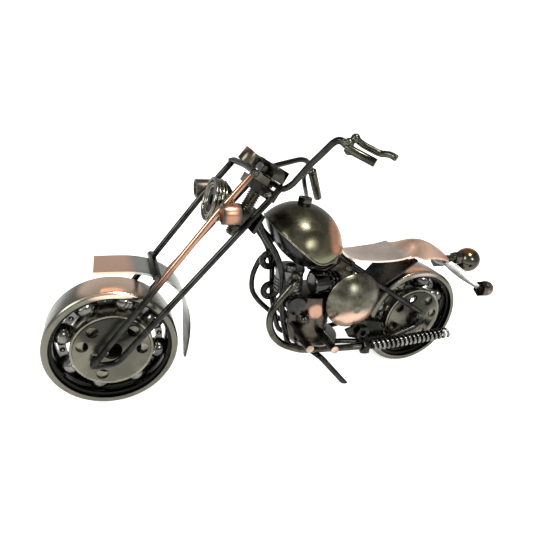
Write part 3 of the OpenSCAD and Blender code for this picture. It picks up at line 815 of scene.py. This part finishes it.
def smoothstep(value):
    value = min(max(value, 0.0), 1.0)
    return value * value * (3 - 2 * value)


def tuck(point):
    """Draws up the low rear edge of the tank, where it is beaten in over the engine."""
    back = smoothstep((point.x - TANK.x + TUCK_AHEAD) / TUCK_LONG)
    down = smoothstep((TANK.z + TUCK_ABOVE - point.z) / TUCK_HIGH)
    return point + Vector((0, 0, TUCK * back * down))


def make_tank():
    # The pan under the dome takes the black rod finish, which paints the shade under the tank.
    for node, look in (("tank_dome", "tank"), ("tank_pan", "black")):
        mesh = fine(node, look, 0.3, 10, 0.05, 5.0).data
        for vertex in mesh.vertices:
            vertex.co = tuck(vertex.co / MM) * MM
        mesh.update()
    seam("tank_seam", "tank_dome", "tank_pan", 0.32, "gunmetal", "chassis")
    rods = points_of("spine_rods")
    rear = rods[rods[:, 0] > TANK.x]
    end = Vector(rear[rear[:, 0] < rear[:, 0].min() + 1].mean(axis=0))
    weld("weld_pan", end + Vector((1.2, 0, 1.7)), "chassis", 3.0, 0.95)


def seam(name, first, second, radius, material, body):
    """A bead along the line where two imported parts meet."""
    one, two = points_of(first), points_of(second)
    near = np.linalg.norm(one[:, None, :] - two[None, :, :], axis=2).min(axis=1) < 0.3
    line = one[near]
    middle = line.mean(axis=0)
    _, _, axes = np.linalg.svd(line - middle, full_matrices=False)
    reach = np.linalg.norm(line - middle, axis=1).max()
    steps = 96
    path = []
    for k in range(steps):
        t = 2 * math.pi * k / steps
        path.append(tuck(Vector(middle + reach * (math.cos(t) * axes[0] + math.sin(t) * axes[1]))))
    bead = sweep(name, path, radius, 8, True)
    settle(bead, material, body)


# ---------- putting it together ----------

LOOKS = make_materials()
LOOKS["weld"] = plain_metal("weld_metal", (0.05, 0.048, 0.04), (0.13, 0.12, 0.1), (0.3, 0.5), (), 900.0)
LOOKS["header"] = plain_metal("header_pipe", (0.035, 0.035, 0.028), (0.1, 0.096, 0.072), (0.12, 0.26))
LOOKS["cage"] = plain_metal("cage_skin", (0.09, 0.09, 0.08), (0.22, 0.22, 0.2), (0.14, 0.28))
LOOKS["disc"] = plain_metal(
    "disc_skin", (0.1, 0.096, 0.075), (0.18, 0.172, 0.135), (0.22, 0.36),
    # Painted shade: a darker patch over the upper half of each hub disc.
    [((0.04, 0.04, 0.032), (axle.x, 0, axle.z + 9), (14, 40, 9)) for axle in WHEELS.values()], 60.0,
)
LOOKS["spring"] = plain_metal("spring_wire", (0.12, 0.12, 0.11), (0.3, 0.3, 0.27), (0.12, 0.24))
LOOKS["wire"] = plain_metal("lamp_wire", (0.12, 0.115, 0.09), (0.26, 0.25, 0.2), (0.1, 0.22))
LOOKS["soot_gloss"] = plain_metal("gloss_black", (0.025, 0.025, 0.024), (0.06, 0.06, 0.055), (0.1, 0.2))

for end in ("front", "rear"):
    make_wheel(end)
make_steering()
make_spring()
make_front_cylinder()
make_rear_cylinder()
make_headlight()

ROUNDED = {
    "frame_tube_left": "black", "frame_tube_right": "black", "spine_rods": "black", "upper_stays": "black",
    "rear_weld_studs": "weld", "exhaust_header": "header", "far_pipe": "black", "kickstand": "black",
    "fork_rod_left": "fork", "fork_rod_right": "black", "fork_cross_rods": "black", "handlebar": "black",
    "control_levers": "header", "control_balls": "header", "breather_ball": "header",
}
for node, look in ROUNDED.items():
    fine(node, look)
for node, look in {"side_caps": "cap", "headlight_shell": "black"}.items():
    fine(node, look, 0.3, 10, 0.05, 5.0)
make_tank()
for node, look in {"tail_light": "tail", "turn_signals": "signal"}.items():
    fine(node, look, 0.25, 4, 0.01)

WORN = {
    "neck_nut": "black", "neck_plate": "black", "filler_cap": "header", "tail_bracket": "pale",
    "tail_collars": "header", "crankcase": "crank", "engine_base_plate": "pale",
    "engine_fasteners": "black", "timing_cover": "soot_gloss", "cap_spindle": "black",
    "foot_pegs": "pegs", "chain_plate": "black", "steering_nuts": "black", "upper_yoke": "black",
    "grips": "header", "clamp_bar": "header", "speedometer": "gauge",
    "headlight_core": "soot", "spot_lamps": "lamp", "fender_stay": "black",
}
for node, look in WORN.items():
    eased(node, look)

pressed("front_fender", "front_fender")
pressed("seat", "seat")
pressed("rear_fender_upper", "rear_fender")
pressed("rear_fender_lower", "black")

for node, obj in NODES.items():
    if not obj.data.materials or node.endswith("_balls"):
        obj.data.materials.clear()
        obj.data.materials.append(LOOKS["steel"])

# How far from the lever's ball to the grip each lump sits, and its size.
CONTROL_LUMPS = ((0.0, 1.3), (0.45, 1.5), (0.85, 1.2))

# Weld lumps where the rods meet other parts.
for side, name in ((-1, "left"), (1, "right")):
    rod = "fork_rod_" + name
    weld("weld_hub_" + name, tip(rod, (0, -side, 0)), "fork", 1.9, 0.6, (0, 1, 0))
    weld("weld_stay_" + name, tip("fender_stay", (0, side, 0)), "fork", 1.4)
    weld("weld_stud_" + name, tip("rear_weld_studs", (0, side, 0), side), "chassis", 1.9, 0.5, (0, 1, 0))
    weld("weld_top_" + name, tip("fork_cross_rods", (0, side, 0)), "fork", 1.4)
    weld("weld_seat_" + name, tip("upper_stays", (-1, 0, 0), side), "chassis", 1.6)
    weld("weld_bar_" + name, tip("upper_yoke", (0, side, 0)), "fork", 1.7)
for k, (along, size) in enumerate(CONTROL_LUMPS):
    for side, name in ((-1, "left"), (1, "right")):
        ball, root = tip("control_balls", (-1, 0, 0), side), tip("grips", (0, 0, 1), side)
        weld(f"weld_control_{name}_{k}", ball.lerp(root, along), "fork", size, 0.8)
weld("weld_fender", centre_of("fender_stay") - Vector((0, 0, 0.5)), "fork", 1.7, 0.6)
weld("weld_tail", tip("rear_fender_upper", (1, 0, 0)), "chassis", 1.2)
weld("weld_header", tip("exhaust_header", (0, 0, 1)), "chassis", 1.9)

make_camera()
make_floor()
make_world()
area_light("overhead", -74, 68, 0.6, 0.17, 2.6)
area_light("front", -78, 26, 0.7, 0.2, 1.4)
area_light("left", -160, 30, 0.7, 0.3, 2.2)
bpy.context.scene.view_settings.view_transform = "Standard"
